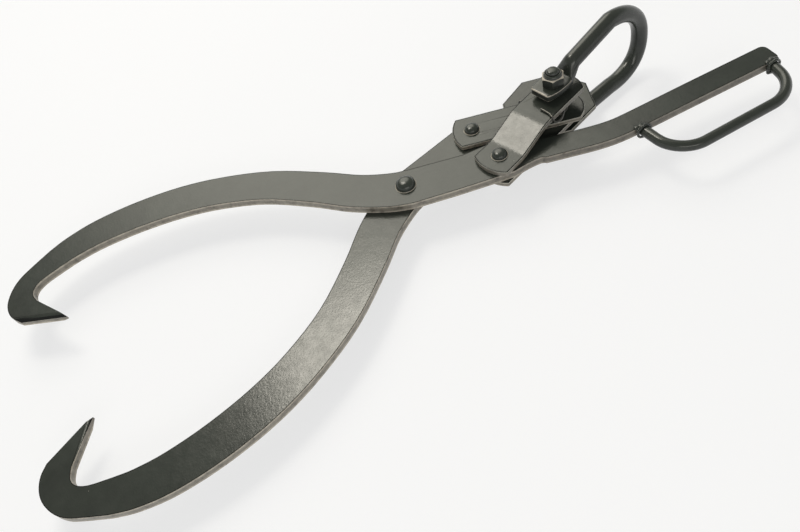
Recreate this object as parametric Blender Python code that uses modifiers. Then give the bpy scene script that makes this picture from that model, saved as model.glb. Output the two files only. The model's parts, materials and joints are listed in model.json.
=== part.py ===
"""Lifting tongs, lying as on a bench.

Two flat jaw arms cross on one pivot rivet. Their upper ends are drawn together by two pairs of
link plates that meet on one bolt, which also carries the lifting bow, so a pull on the bow shuts
the jaws. One arm runs on as a handle bar with a welded grip. A torsion spring round the bolt
keeps the links shut.

Plan coordinates are millimetres from the pivot: X along the tongs towards the handle, Z up.
"""
import math

import bmesh
import bpy
from mathutils import Matrix, Vector

MM = 0.001

# Plates and the gap that every touching pair keeps
ARM_THICKNESS = 8.0
LINK_THICKNESS = 5.0
GAP = 0.3
EDGE_ROUND = 0.9

# The kite of pivot, two rivets and bolt
PIVOT_TO_RIVET = 90.0
RIVET_HALF_ANGLE = math.radians(17.4)
LINK_LENGTH = 81.5

# Jaw arms: middle line of the bar as x, y and width, pivot first
JAW_LINE = [
    (4, -4, 43.5), (-15, 4.9, 42), (-42, 24.5, 40), (-71, 53.4, 38.4), (-112, 88.7, 37.2),
    (-156, 114, 37), (-197, 130, 37.5), (-241, 140, 37), (-282, 144, 35.5), (-312, 142, 33),
    (-333, 137, 30),
]
HOOK_HEEL = [(-359, 141), (-371, 134), (-380, 124), (-386, 111), (-387, 99), (-384, 88), (-377.5, 79.5)]
HOOK_TIP = (-333.5, 57.5)
HOOK_THROAT = [(-358, 94.5), (-360.5, 104), (-357.5, 112), (-348, 118)]
HOOK_GRIND_WIDTH = 4.5
HOOK_GRIND_DEPTH = 3.0
HOOK_GRIND_OVERRUN = 12.0

# Upper end of the arms, as steps from the link rivet's centre
HEAD_INNER_EDGE = [(-24.5, 27.2), (-1, 24.5)]
SHORT_HEAD_OUTER_EDGE = [(3, -19.2), (-16, -14.8), (-51, -6.4)]
LONG_HEAD_OUTER_EDGE = [(3, -20.8), (-16, -16.6), (-51, -8)]
SHORT_ARM_END = [(13, 20.5), (21, 11), (23.5, 0), (20, -11.5), (12, -18)]
LONG_ARM_SHOULDER = [(11, 22.5), (20, 14), (27, 6)]
LONG_ARM_STEP = [(30, -21.2), (17, -20.2)]

# Handle bar beyond the rivet: middle line as x, y and width
HANDLE_LINE = [
    (124, -39.4, 24.8), (145, -46.9, 24.3), (168, -54.8, 24.1), (188, -59.5, 23.4), (210, -61.2, 23.1),
    (268, -63.6, 23.2), (353, -67.5, 22.8),
]
HANDLE_CORNER = 5.5

# Grip welded to the handle's outer edge
GRIP_ROD = 10.0
GRIP_SPAN = 135.7
GRIP_REACH = 41.1
GRIP_BEND = 27.0
GRIP_END_INSET = 9.6
GRIP_SLANT = 0.8
WELD_SPREAD = 2.6

# Link plates
LINK_WIDTH = 39.0
LINK_END_RADIUS = 27.0
LINK_RIVET_CORNER = 13.5
LINK_JOGGLE = 12.0
JOGGLE_START = 10.0
JOGGLE_END = 45.0
JOGGLE_BLEND = 3.0
HEAD_ACROSS_FLATS = 85.0
HEAD_CUT_BACK = 6.0

# Rivets
PIVOT_SHANK = 12.0
PIVOT_HEAD = 19.0
LINK_SHANK = 9.0
LINK_HEAD = 14.7
HEAD_HEIGHT_SHARE = 0.36
HOLE_CLEARANCE = 0.3
LOOSE_HOLE_CLEARANCE = 1.0

# Bolt, nut, sleeve, washer
BOLT_DIAMETER = 12.0
HEX_ACROSS_FLATS = 19.0
BOLT_HEAD_HEIGHT = 7.5
BOLT_END_PROUD = 3.0
NUT_HEX_HEIGHT = 9.0
NUT_COLLAR_HEIGHT = 3.0
NUT_COLLAR_DIAMETER = 17.2
NUT_LIP = 0.7
NUT_LIP_OPENING = 13.0
INSERT_HEIGHT = 2.4
INSERT_DIAMETER = 14.6
SLEEVE_DIAMETER = 18.0
WASHER_DIAMETER = 24.0

# Torsion spring
SPRING_WIRE = 2.0
SPRING_INNER_DIAMETER = 20.0
SPRING_TURNS = 3.9
SPRING_PITCH = 2.4
SPRING_LEG_ANGLE = math.radians(61)

# Lifting bow: a round rod with flattened eyes
BOW_ROD = 16.0
BOW_EYE_THICKNESS = 7.0
BOW_EYE_WIDTH = 28.0
BOW_EYE_BACK = 17.5
BOW_EYE_SHIFT = 1.4
BOW_EYE_PLAY = 4.4
BOW_NECK = 14.0
BOW_NECK_END = 27.0
BOW_HALF_WIDTH = 39.0
BOW_REACH = 121.5
BOW_CROWN = 44.7
BOW_SQUARENESS = 2.26
BOW_SWING = math.radians(14.1)
# Levels from the eyes' middle: both legs where they leave the neck, the crown's middle at both ends
BOW_UPPER_NECK = 36.3
BOW_LOWER_NECK = -30.4
BOW_CROWN_START = 8.8
BOW_CROWN_TIP = 3.1

ROUND_SIDES = 32

# Levels of the plates, lower face of each
SHORT_ARM_LEVEL = 0.0
LONG_ARM_LEVEL = SHORT_ARM_LEVEL + ARM_THICKNESS + GAP
LINK_A_TOP_LEVEL = LONG_ARM_LEVEL + ARM_THICKNESS + GAP
LINK_A_BOTTOM_LEVEL = LONG_ARM_LEVEL - GAP - LINK_THICKNESS
LINK_B_TOP_LEVEL = SHORT_ARM_LEVEL + ARM_THICKNESS + GAP
LINK_B_BOTTOM_LEVEL = SHORT_ARM_LEVEL - GAP - LINK_THICKNESS
STACK_TOP = LINK_A_TOP_LEVEL + LINK_JOGGLE + LINK_THICKNESS
STACK_BOTTOM = LINK_B_BOTTOM_LEVEL
UPPER_EYE_LEVEL = STACK_TOP + BOW_EYE_PLAY
LOWER_EYE_LEVEL = STACK_BOTTOM - GAP - BOW_EYE_THICKNESS

# Places of the axes
RIVET_A = Vector((PIVOT_TO_RIVET * math.cos(RIVET_HALF_ANGLE), -PIVOT_TO_RIVET * math.sin(RIVET_HALF_ANGLE)))
RIVET_B = Vector((RIVET_A.x, -RIVET_A.y))
LINK_HALF_ANGLE = math.asin(-RIVET_A.y / LINK_LENGTH)
BOLT = Vector((RIVET_A.x + LINK_LENGTH * math.cos(LINK_HALF_ANGLE), 0.0))


def start_empty_file():
    """Remove every object and make the collections."""
    for old in list(bpy.data.objects):
        bpy.data.objects.remove(old)
    for name in ("lifting_tongs", "cutters"):
        collection = bpy.data.collections.new(name)
        bpy.context.scene.collection.children.link(collection)


def finish(name, colour, roughness, metallic):
    """A plain material."""
    material = bpy.data.materials.new(name)
    material.use_nodes = True
    shader = material.node_tree.nodes["Principled BSDF"]
    shader.inputs["Base Color"].default_value = (*colour, 1.0)
    shader.inputs["Roughness"].default_value = roughness
    shader.inputs["Metallic"].default_value = metallic
    return material


def add_object(name, mesh, material, collection="lifting_tongs"):
    """Put a mesh in the scene as a named piece, smooth except at its real edges."""
    piece = bpy.data.objects.new(name, mesh)
    bpy.data.collections[collection].objects.link(piece)
    if material:
        mesh.materials.clear()
        mesh.materials.append(material)
    mesh.shade_smooth()
    mesh.set_sharp_from_angle(angle=math.radians(35))
    return piece


def axis_empty(name, place, turn, parent=None):
    """An empty on a joint's axis."""
    empty = bpy.data.objects.new(name, None)
    bpy.data.collections["lifting_tongs"].objects.link(empty)
    empty.location = (place[0] * MM, place[1] * MM, 0.0)
    empty.rotation_euler = (0.0, 0.0, turn)
    empty.parent = parent
    return empty


def smooth_line(points, steps=4):
    """Sample a Catmull-Rom curve through points of any dimension."""
    vectors = [Vector(point) for point in points]
    padded = [vectors[0] * 2 - vectors[1]] + vectors + [vectors[-1] * 2 - vectors[-2]]
    samples = []
    for a, b, c, d in zip(padded, padded[1:], padded[2:], padded[3:]):
        for step in range(steps):
            t = step / steps
            samples.append(0.5 * (2 * b + (c - a) * t + (2 * a - 5 * b + 4 * c - d) * t ** 2
                                  + (3 * b - a - 3 * c + d) * t ** 3))
    samples.append(vectors[-1])
    return samples


def offset_edge(line, side):
    """Edge of a bar: its sampled middle line of x, y, width moved half the width to one side."""
    edge = []
    for index, point in enumerate(line):
        before = line[max(index - 1, 0)]
        after = line[min(index + 1, len(line) - 1)]
        along = Vector((after[0] - before[0], after[1] - before[1])).normalized()
        edge.append((point[0] - along.y * side * point[2] / 2, point[1] + along.x * side * point[2] / 2))
    return edge


def circle(centre, radius, sides=ROUND_SIDES):
    """Points round a circle."""
    angles = [2 * math.pi * k / sides for k in range(sides)]
    return [(centre[0] + radius * math.cos(a), centre[1] + radius * math.sin(a)) for a in angles]


def arc(centre, radius, start, end, steps):
    """Points along an arc, angles in radians."""
    angles = [start + (end - start) * k / steps for k in range(steps + 1)]
    return [(centre[0] + radius * math.cos(a), centre[1] + radius * math.sin(a)) for a in angles]


def steps_from(place, steps):
    """Turn steps from a place into points."""
    return [(place[0] + dx, place[1] + dy) for dx, dy in steps]


def curve_to_mesh(name, curve):
    """Turn a curve into a closed mesh with its caps welded."""
    holder = bpy.data.objects.new(name, curve)
    bpy.context.scene.collection.objects.link(holder)
    graph = bpy.context.evaluated_depsgraph_get()
    mesh = bpy.data.meshes.new_from_object(holder.evaluated_get(graph))
    bpy.data.objects.remove(holder)
    shape = bmesh.new()
    shape.from_mesh(mesh)
    bmesh.ops.remove_doubles(shape, verts=shape.verts, dist=1e-6)
    bmesh.ops.recalc_face_normals(shape, faces=shape.faces)
    shape.to_mesh(mesh)
    shape.free()
    return mesh


def plate_mesh(name, loops, level, thickness):
    """A flat plate from its outline and holes, with its lower face at a level."""
    curve = bpy.data.curves.new(name, "CURVE")
    curve.dimensions = "2D"
    curve.fill_mode = "BOTH"
    curve.extrude = thickness / 2 * MM
    for loop in loops:
        spline = curve.splines.new("POLY")
        spline.points.add(len(loop) - 1)
        for point, place in zip(spline.points, loop):
            point.co = (place[0] * MM, place[1] * MM, 0.0, 1.0)
        spline.use_cyclic_u = True
    mesh = curve_to_mesh(name, curve)
    mesh.transform(Matrix.Translation((0.0, 0.0, (level + thickness / 2) * MM)))
    return mesh


def round_edges(piece, width=EDGE_ROUND):
    """Round a plate's rims."""
    bevel = piece.modifiers.new("rounded_rims", "BEVEL")
    bevel.width = width * MM
    bevel.segments = 2
    bevel.limit_method = "ANGLE"
    bevel.angle_limit = math.radians(50)


def turned(name, profile, material, collection="lifting_tongs", sides=ROUND_SIDES):
    """A turned piece from a profile of radius and height, down its outer side."""
    mesh = bpy.data.meshes.new(name)
    closed = profile[0][0] > 0
    count = len(profile)
    edges = [(k, (k + 1) % count) for k in range(count if closed else count - 1)]
    mesh.from_pydata([(radius * MM, 0.0, height * MM) for radius, height in profile], edges, [])
    piece = add_object(name, mesh, material, collection)
    screw = piece.modifiers.new("turn", "SCREW")
    screw.steps = sides
    screw.render_steps = sides
    screw.use_merge_vertices = True
    screw.merge_threshold = 1e-6
    screw.use_smooth_shade = True
    return piece


def cut(piece, cutter, operation="DIFFERENCE"):
    """Cut or trim a piece by a hidden cutter that moves with it, before its rims are rounded."""
    cutter.parent = piece
    cutter.hide_render = True
    cutter.display_type = "WIRE"
    boolean = piece.modifiers.new(cutter.name, "BOOLEAN")
    boolean.operation = operation
    boolean.object = cutter
    boolean.solver = "EXACT"


def tube(name, points, diameter, material, resolution=2):
    """A round wire or rod along a polyline."""
    curve = bpy.data.curves.new(name, "CURVE")
    curve.dimensions = "3D"
    curve.bevel_depth = diameter / 2 * MM
    curve.bevel_resolution = resolution
    curve.use_fill_caps = True
    spline = curve.splines.new("POLY")
    spline.points.add(len(points) - 1)
    for point, place in zip(spline.points, points):
        point.co = (place[0] * MM, place[1] * MM, place[2] * MM, 1.0)
    return add_object(name, curve_to_mesh(name, curve), material)


def soft_corner(before, corner, after, radius, steps=4):
    """Round one corner of an outline."""
    before, corner, after = Vector(before), Vector(corner), Vector(after)
    start = corner + (before - corner).normalized() * radius
    end = corner + (after - corner).normalized() * radius
    near_start = start.lerp(corner, 0.55)
    near_end = end.lerp(corner, 0.55)
    points = []
    for k in range(steps + 1):
        t = k / steps
        points.append(tuple(start * (1 - t) ** 3 + near_start * 3 * t * (1 - t) ** 2
                            + near_end * 3 * t * t * (1 - t) + end * t ** 3))
    return points


def jaw_edges():
    """The jaw's outer edge from pivot to tip and its inner edge from throat to pivot."""
    line = smooth_line(JAW_LINE)
    outer = offset_edge(line, -1)
    inner = offset_edge(line, 1)
    heel = smooth_line(outer[-1:] + HOOK_HEEL)[1:]
    throat = smooth_line(HOOK_THROAT + inner[-1:])[:-1]
    return outer + [tuple(p) for p in heel] + [HOOK_TIP], [tuple(p) for p in throat] + inner[::-1]


def long_arm_head():
    """The riveted head running on into the handle bar."""
    inner_head = steps_from(RIVET_A, HEAD_INNER_EDGE)
    outer_head = steps_from(RIVET_A, LONG_HEAD_OUTER_EDGE)
    handle = smooth_line(HANDLE_LINE, 3)
    near = offset_edge(handle, 1)
    far = offset_edge(handle, -1)
    shoulder = smooth_line(inner_head[-1:] + steps_from(RIVET_A, LONG_ARM_SHOULDER) + near[:1])[1:-1]
    step = smooth_line(far[:1] + steps_from(RIVET_A, LONG_ARM_STEP) + outer_head[:1], 2)[1:-1]
    end = soft_corner(near[-2], near[-1], far[-1], HANDLE_CORNER)
    end += soft_corner(near[-1], far[-1], far[-2], HANDLE_CORNER)
    edge = near[:-1] + end + far[-2::-1]
    return inner_head + [tuple(p) for p in shoulder] + edge + [tuple(p) for p in step] + outer_head


def short_arm_head():
    """The riveted head with its round end."""
    inner_head = steps_from(RIVET_A, HEAD_INNER_EDGE)
    outer_head = steps_from(RIVET_A, SHORT_HEAD_OUTER_EDGE)
    nose = smooth_line(inner_head[-1:] + steps_from(RIVET_A, SHORT_ARM_END) + outer_head[:1])[1:-1]
    return inner_head + [tuple(p) for p in nose] + outer_head


def arm_outline(head):
    """Outline of an arm whose jaw lies on the +Y side and whose head lies on the -Y side."""
    to_tip, from_throat = jaw_edges()
    return to_tip[::-1] + head + from_throat[::-1]


def mirrored(points):
    """The same points on the other side of the tongs' middle line."""
    return [(x, -y) for x, y in points]


def hook_grind(name, tip, far, far_width, overrun, level, up, side):
    """A slanted block that grinds one rim of a hook from its tip; side 1 has the plate on the left."""
    tip, far = Vector((*tip, level)), Vector((*far, level))
    along = (far - tip).normalized()
    outward = Vector((along.y, -along.x, 0.0)) * side
    start = tip - outward * HOOK_GRIND_WIDTH - along * HOOK_GRIND_OVERRUN
    end = far - outward * far_width + along * overrun
    along = (end - start).normalized()
    outward = Vector((along.y, -along.x, 0.0)) * side
    slope = math.atan2(HOOK_GRIND_DEPTH, HOOK_GRIND_WIDTH)
    normal = outward * math.sin(slope) + Vector((0.0, 0.0, up * math.cos(slope)))
    block = 24.0
    shape = bmesh.new()
    bmesh.ops.create_cube(shape, size=1.0)
    mesh = bpy.data.meshes.new(name)
    shape.to_mesh(mesh)
    shape.free()
    cutter = add_object(name, mesh, None, "cutters")
    centre = (start + end) / 2 + normal * block / 2
    turn = Matrix((along, normal.cross(along), normal)).transposed().to_4x4()
    stretch = Matrix.Diagonal(((end - start).length * MM, block * MM, block * MM, 1.0))
    cutter.matrix_world = Matrix.Translation(centre * MM) @ turn @ stretch
    return cutter


def arm(name, outline, rivet, level, hand, enamel):
    """A jaw arm: plate, two rivet holes, and the hook ground on both faces; hand 1 has its jaw on +Y."""
    holes = [circle((0.0, 0.0), PIVOT_SHANK / 2 + HOLE_CLEARANCE)]
    holes.append(circle(rivet, LINK_SHANK / 2 + HOLE_CLEARANCE))
    piece = add_object(name, plate_mesh(name, [outline] + holes, level, ARM_THICKNESS), enamel)
    tip, heel, throat = [(x, y * hand) for x, y in (HOOK_TIP, HOOK_HEEL[-1], HOOK_THROAT[0])]
    back_level = level + (ARM_THICKNESS if hand > 0 else 0.0)
    inner_level = level + (ARM_THICKNESS if hand < 0 else 0.0)
    overrun = HOOK_GRIND_OVERRUN
    back = hook_grind(f"{name}_back_grind", tip, heel, HOOK_GRIND_WIDTH, overrun, back_level, hand, -hand)
    inner = hook_grind(f"{name}_inner_grind", tip, throat, 0.0, 0.0, inner_level, -hand, hand)
    cut(piece, back)
    cut(piece, inner)
    round_edges(piece)
    return piece


def link_outline(octagon):
    """Outline of a link plate from its rivet at 0,0 to the bolt on +X; one carries an octagonal head."""
    half = LINK_WIDTH / 2
    bolt_corner = math.asin(half / LINK_END_RADIUS)
    rise = LINK_WIDTH / 2 - 0.4 - LINK_RIVET_CORNER
    radius = (half ** 2 + rise ** 2) / (2 * rise)
    swing = math.asin(half / radius)
    centre = (-LINK_RIVET_CORNER - rise + radius, 0.0)
    rivet_end = arc(centre, radius, math.pi - swing, math.pi + swing, 8)
    if not octagon:
        return rivet_end + arc((LINK_LENGTH, 0.0), LINK_END_RADIUS, -bolt_corner, bolt_corner, 10)
    apothem = HEAD_ACROSS_FLATS / 2
    side = apothem * math.tan(math.pi / 8)
    middle = (LINK_LENGTH - 2.0, apothem - half)
    head = [(side - HEAD_CUT_BACK, -apothem), (apothem, -side), (apothem, side), (side, apothem), (-side, apothem),
            (-apothem, side)]
    return rivet_end + steps_from(middle, head) + [(middle[0] - apothem, half)]


def link_plate(name, level, rivet_clearance, bolt_clearance, enamel, octagon=False):
    """A link plate with its two holes."""
    holes = [circle((0.0, 0.0), LINK_SHANK / 2 + rivet_clearance)]
    holes.append(circle((LINK_LENGTH, 0.0), BOLT_DIAMETER / 2 + bolt_clearance))
    mesh = plate_mesh(name, [link_outline(octagon)] + holes, level, LINK_THICKNESS)
    return add_object(name, mesh, enamel)


def joggle(piece):
    """Fold a plate up between its two fold lines, each fold rounded."""
    shape = bmesh.new()
    shape.from_mesh(piece.data)
    folds = []
    for fold in (JOGGLE_START, JOGGLE_END):
        folds += [fold - JOGGLE_BLEND, fold, fold + JOGGLE_BLEND]
    for fold in folds:
        parts = shape.verts[:] + shape.edges[:] + shape.faces[:]
        bmesh.ops.bisect_plane(shape, geom=parts, plane_co=(fold * MM, 0.0, 0.0), plane_no=(1.0, 0.0, 0.0))
    slope = LINK_JOGGLE / (JOGGLE_END - JOGGLE_START)
    for vert in shape.verts:
        along = vert.co.x / MM
        rise = slope * min(max(along - JOGGLE_START, 0.0), JOGGLE_END - JOGGLE_START)
        if abs(along - JOGGLE_START) < JOGGLE_BLEND / 2:
            rise += slope * JOGGLE_BLEND / 4
        if abs(along - JOGGLE_END) < JOGGLE_BLEND / 2:
            rise -= slope * JOGGLE_BLEND / 4
        vert.co.z += rise * MM
    shape.to_mesh(piece.data)
    shape.free()
    piece.data.shade_smooth()
    piece.data.set_sharp_from_angle(angle=math.radians(35))


def dome(radius, base, height, up, steps=6):
    """Profile of a domed rivet head, from its top on the axis out to its rim."""
    angles = [math.pi / 2 * k / steps for k in range(steps + 1)]
    return [(radius * math.sin(a), base + up * height * math.cos(a)) for a in angles]


def rivet(name, bottom, top, shank, head, material):
    """A rivet with a dome at each end, its heads clear of the plates it holds."""
    height = head * HEAD_HEIGHT_SHARE
    upper = dome(head / 2, top + GAP, height, 1)
    lower = dome(head / 2, bottom - GAP, height, -1)[::-1]
    upper[0] = (0.0, upper[0][1])
    lower[-1] = (0.0, lower[-1][1])
    profile = upper + [(shank / 2, top + GAP), (shank / 2, bottom - GAP)] + lower
    return turned(name, profile, material)


def hex_prism(name, across_flats, bottom, top):
    """A hexagonal cutter."""
    corners = circle((0.0, 0.0), across_flats / math.sqrt(3), 6)
    mesh = plate_mesh(name, [corners], bottom, top - bottom)
    return add_object(name, mesh, None, "cutters")


def through_bolt(material):
    """The bolt: hexagon head under the lower eye, chamfered end above the nut."""
    corner = HEX_ACROSS_FLATS / math.sqrt(3)
    shank = BOLT_DIAMETER / 2
    under_head = LOWER_EYE_LEVEL - GAP
    foot = under_head - BOLT_HEAD_HEIGHT
    end = UPPER_EYE_LEVEL + BOW_EYE_THICKNESS + GAP + NUT_HEX_HEIGHT + NUT_COLLAR_HEIGHT + BOLT_END_PROUD
    profile = [
        (0.0, end), (shank - 1.8, end - 0.25), (shank - 0.6, end - 1.1), (shank, end - 2.6),
        (shank, under_head), (corner, under_head), (corner, foot + 1.1), (corner - 1.7, foot), (0.0, foot),
    ]
    bolt = turned("bolt", profile, material)
    cut(bolt, hex_prism("bolt_head_flats", HEX_ACROSS_FLATS, foot - 5, end + 5), "INTERSECT")
    return bolt


def lock_nut(material):
    """The hexagon lock nut, its round collar closed over the insert by a thin lip."""
    corner = HEX_ACROSS_FLATS / math.sqrt(3)
    bore = BOLT_DIAMETER / 2 + GAP
    foot = UPPER_EYE_LEVEL + BOW_EYE_THICKNESS + GAP
    shoulder = foot + NUT_HEX_HEIGHT
    top = shoulder + NUT_COLLAR_HEIGHT
    collar = NUT_COLLAR_DIAMETER / 2
    seat = INSERT_DIAMETER / 2 + GAP
    lip = NUT_LIP_OPENING / 2
    seat_low = top - NUT_LIP - INSERT_HEIGHT - 2 * GAP
    profile = [
        (lip, top), (lip + 0.5, top), (collar - 0.8, top - 0.6), (collar - 0.2, top - 1.5), (collar, shoulder + 0.3),
        (collar + 0.4, shoulder), (corner, shoulder - 1.0), (corner, foot + 0.9), (corner - 1.5, foot),
        (bore, foot), (bore, seat_low), (seat, seat_low), (seat, top - NUT_LIP), (lip, top - NUT_LIP),
    ]
    nut = turned("nut", profile, material)
    cut(nut, hex_prism("nut_flats", HEX_ACROSS_FLATS, foot - 5, top + 5), "INTERSECT")
    return nut, top


def ring(name, inner, outer, bottom, top, material, edge=0.3):
    """A washer, sleeve or insert: inner and outer radius, lower and upper face."""
    profile = [
        (inner, top), (outer - edge, top), (outer, top - edge), (outer, bottom + edge), (outer - edge, bottom),
        (inner, bottom),
    ]
    return turned(name, profile, material)


def bow_leg(hand):
    """Middle line of one leg out from its eye: along, level, width, share of roundness; hand 1 is the upper leg."""
    eye_level = hand * (UPPER_EYE_LEVEL - LOWER_EYE_LEVEL) / 2
    neck_level = BOW_UPPER_NECK if hand > 0 else BOW_LOWER_NECK
    back, neck = BOW_EYE_BACK, BOW_NECK
    eye = [(-back, 0.75), (-back * 0.6, 0.92), (-back * 0.25, 1.0), (neck * 0.4, 1.0), (neck * 0.75, 0.94)]
    leg = [(along, eye_level, BOW_EYE_WIDTH * share, 0.0) for along, share in eye]
    neck_width = BOW_EYE_WIDTH * 0.86
    for k in range(7):
        share = k / 6
        ease = share * share * (3 - 2 * share)
        level = eye_level + (neck_level - eye_level) * ease
        width = neck_width + (BOW_ROD - neck_width) * math.sqrt(share)
        leg.append((neck + (BOW_NECK_END - neck) * share, level, width, ease))
    crown_level = BOW_CROWN_START + hand * BOW_HALF_WIDTH
    straight = BOW_REACH - BOW_CROWN
    leg.append(((BOW_NECK_END + straight) / 2, (neck_level + crown_level) / 2, BOW_ROD, 1.0))
    return leg


def bow_line():
    """Middle line of the bow in its own plane from upper to lower eye: along, level, width, share of roundness."""
    straight = BOW_REACH - BOW_CROWN
    crown = []
    for k in range(15):
        angle = math.pi / 2 - math.pi / 14 * k
        share = abs(math.cos(angle)) ** (2 / BOW_SQUARENESS)
        height = math.copysign(abs(math.sin(angle)) ** (2 / BOW_SQUARENESS), math.sin(angle))
        middle = BOW_CROWN_START + (BOW_CROWN_TIP - BOW_CROWN_START) * share
        crown.append((straight + BOW_CROWN * share, middle + BOW_HALF_WIDTH * height, BOW_ROD, 1.0))
    return bow_leg(1) + crown + bow_leg(-1)[::-1]


def bow(material):
    """The lifting bow, lofted from flat eye to round rod and back, with the bolt's hole cut through."""
    line = bow_line()
    middle = (UPPER_EYE_LEVEL + BOW_EYE_THICKNESS + LOWER_EYE_LEVEL) / 2
    corners = 20
    shape = bmesh.new()
    loops = []
    for index, (along, level, width, roundness) in enumerate(line):
        before = line[max(index - 1, 0)]
        after = line[min(index + 1, len(line) - 1)]
        travel = Vector((after[0] - before[0], 0.0, after[1] - before[1])).normalized()
        up = Vector((-travel.z, 0.0, travel.x))
        depth = BOW_EYE_THICKNESS + (BOW_ROD - BOW_EYE_THICKNESS) * roundness
        power = 2.0 / (2.0 + 5.0 * (1.0 - roundness) ** 2)
        loop = []
        for k in range(corners):
            angle = 2 * math.pi * (k + 0.5) / corners
            side = math.copysign(abs(math.cos(angle)) ** power, math.cos(angle)) * width / 2
            side += BOW_EYE_SHIFT * (1.0 - roundness)
            lift = math.copysign(abs(math.sin(angle)) ** power, math.sin(angle)) * depth / 2
            place = Vector((along, side, middle + level)) + up * lift
            loop.append(shape.verts.new(place * MM))
        loops.append(loop)
    for first, second in zip(loops, loops[1:]):
        for k in range(corners):
            n = (k + 1) % corners
            shape.faces.new((first[k], first[n], second[n], second[k]))
    shape.faces.new(loops[0])
    shape.faces.new(loops[-1])
    bmesh.ops.recalc_face_normals(shape, faces=shape.faces)
    mesh = bpy.data.meshes.new("lifting_bow")
    shape.to_mesh(mesh)
    shape.free()
    piece = add_object("lifting_bow", mesh, material)
    radius = BOLT_DIAMETER / 2 + GAP
    drill = plate_mesh("bow_drill", [circle((0.0, 0.0), radius)], LOWER_EYE_LEVEL - 5, STACK_TOP + 40)
    cut(piece, add_object("bow_drill", drill, None, "cutters"))
    return piece


def helix(radius, start_angle, turns, bottom, pitch, steps=20):
    """Points of a coil going up."""
    count = max(int(abs(turns) * steps), 1)
    points = []
    for k in range(count + 1):
        share = k / count
        angle = start_angle + 2 * math.pi * turns * share
        points.append((radius * math.cos(angle), radius * math.sin(angle), bottom + pitch * abs(turns) * share))
    return points


def spring(material):
    """The torsion spring: coil with the upper leg, and the last half turn with the lower leg."""
    radius = (SPRING_INNER_DIAMETER + SPRING_WIRE) / 2
    lower = LINK_B_TOP_LEVEL + LINK_THICKNESS + GAP + SPRING_WIRE / 2
    upper = STACK_TOP + GAP + SPRING_WIRE / 2
    edge = LINK_WIDTH / 2 + GAP + SPRING_WIRE / 2
    coil = helix(radius, -SPRING_LEG_ANGLE + 2 * math.pi * SPRING_TURNS, -SPRING_TURNS,
                 lower + SPRING_WIRE + GAP, SPRING_PITCH)
    leave = coil[-1][2]
    over = [
        (-18.0, -edge - 1.5, leave + 0.6), (-27.0, -edge - 1.3, leave + 2.0), (-28.6, -edge - 0.8, leave + 4.0),
        (-28.9, -edge - 0.3, upper - 1.4), (-28.6, -edge + 0.6, upper), (-27.8, -edge + 3.0, upper + 0.1),
        (-26.4, -14.5, upper), (-25.3, -4.5, upper),
    ]
    main = tube("spring_coil", coil + over, SPRING_WIRE, material)
    half = helix(radius, SPRING_LEG_ANGLE + math.radians(10) - math.pi * 0.85, 0.425, lower, 0.0)
    hook = [
        (-14.0, 15.0, lower), (-22.0, edge - 1.0, lower), (-28.5, edge + 0.4, lower - 0.3),
        (-30.5, edge + 0.5, lower - 1.6), (-31.2, edge + 0.2, lower - 4.5),
    ]
    tail = tube("spring_lower_leg", half + hook, SPRING_WIRE, material)
    return main, tail


def edge_at(line, side, x):
    """Height of a bar's edge at an x."""
    edge = offset_edge(smooth_line(line), side)
    for first, second in zip(edge, edge[1:]):
        if first[0] <= x <= second[0]:
            return first[1] + (second[1] - first[1]) * (x - first[0]) / (second[0] - first[0])
    return edge[-1][1]


def grip(material):
    """The round grip with its two square bends, and the weld bead at each end."""
    level = LONG_ARM_LEVEL + ARM_THICKNESS / 2
    last = HANDLE_LINE[-1][0] - GRIP_END_INSET
    first = last - GRIP_SPAN
    start = edge_at(HANDLE_LINE, -1, first) - 3 * GAP
    end = edge_at(HANDLE_LINE, -1, last) - 3 * GAP
    corner_first = (first + 3.5, start - GRIP_REACH - 1.0)
    corner_last = (last - 7.0, end - GRIP_REACH + 2.0)
    first -= GRIP_SLANT
    line = [(first, start)]
    line += soft_corner((first, start), corner_first, corner_last, GRIP_BEND, 8)
    line += soft_corner(corner_first, corner_last, (last, end), GRIP_BEND, 8)
    line += [(last, end)]
    rod = tube("grip", [(x, y, level) for x, y in line], GRIP_ROD, material, 4)
    beads = []
    for name, place in (("weld_bead_inner", (first, start)), ("weld_bead_outer", (last, end))):
        beads.append(weld_bead(name, place, level, material))
    return rod, beads


def weld_bead(name, place, level, material):
    """A lumpy ring of weld round the grip where it meets the handle."""
    thick = WELD_SPREAD / 2
    curve = bpy.data.curves.new(name, "CURVE")
    curve.dimensions = "3D"
    curve.bevel_depth = thick * MM
    curve.bevel_resolution = 2
    spline = curve.splines.new("POLY")
    spline.points.add(23)
    spline.use_cyclic_u = True
    radius = GRIP_ROD / 2 + GAP + thick + 0.15
    for k, point in enumerate(spline.points):
        angle = 2 * math.pi * k / 24
        y = place[1] - thick - 0.3
        point.co = ((place[0] + radius * math.cos(angle)) * MM, y * MM,
                    (level + radius * math.sin(angle)) * MM, 1.0)
        point.radius = 0.75 + 0.2 * math.sin(angle) + 0.08 * math.sin(5 * angle + 1.0)
    return add_object(name, curve_to_mesh(name, curve), material)


def keep(pieces, parent, place=(0.0, 0.0)):
    """Parent pieces to an axis."""
    for piece in pieces:
        piece.parent = parent
        piece.location = (place[0] * MM, place[1] * MM, 0.0)


def centre_on_floor(root):
    """Shift the whole tool so that the middle of its footprint is the origin and its lowest point is at 0."""
    bpy.context.view_layer.update()
    graph = bpy.context.evaluated_depsgraph_get()
    corners = []
    for piece in bpy.data.collections["lifting_tongs"].objects:
        if piece.type == "MESH":
            shown = piece.evaluated_get(graph)
            corners += [shown.matrix_world @ vert.co for vert in shown.data.vertices]
    low = Vector([min(c[axis] for c in corners) for axis in range(3)])
    high = Vector([max(c[axis] for c in corners) for axis in range(3)])
    root.location = (-(low.x + high.x) / 2, -(low.y + high.y) / 2, -low.z)


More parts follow.
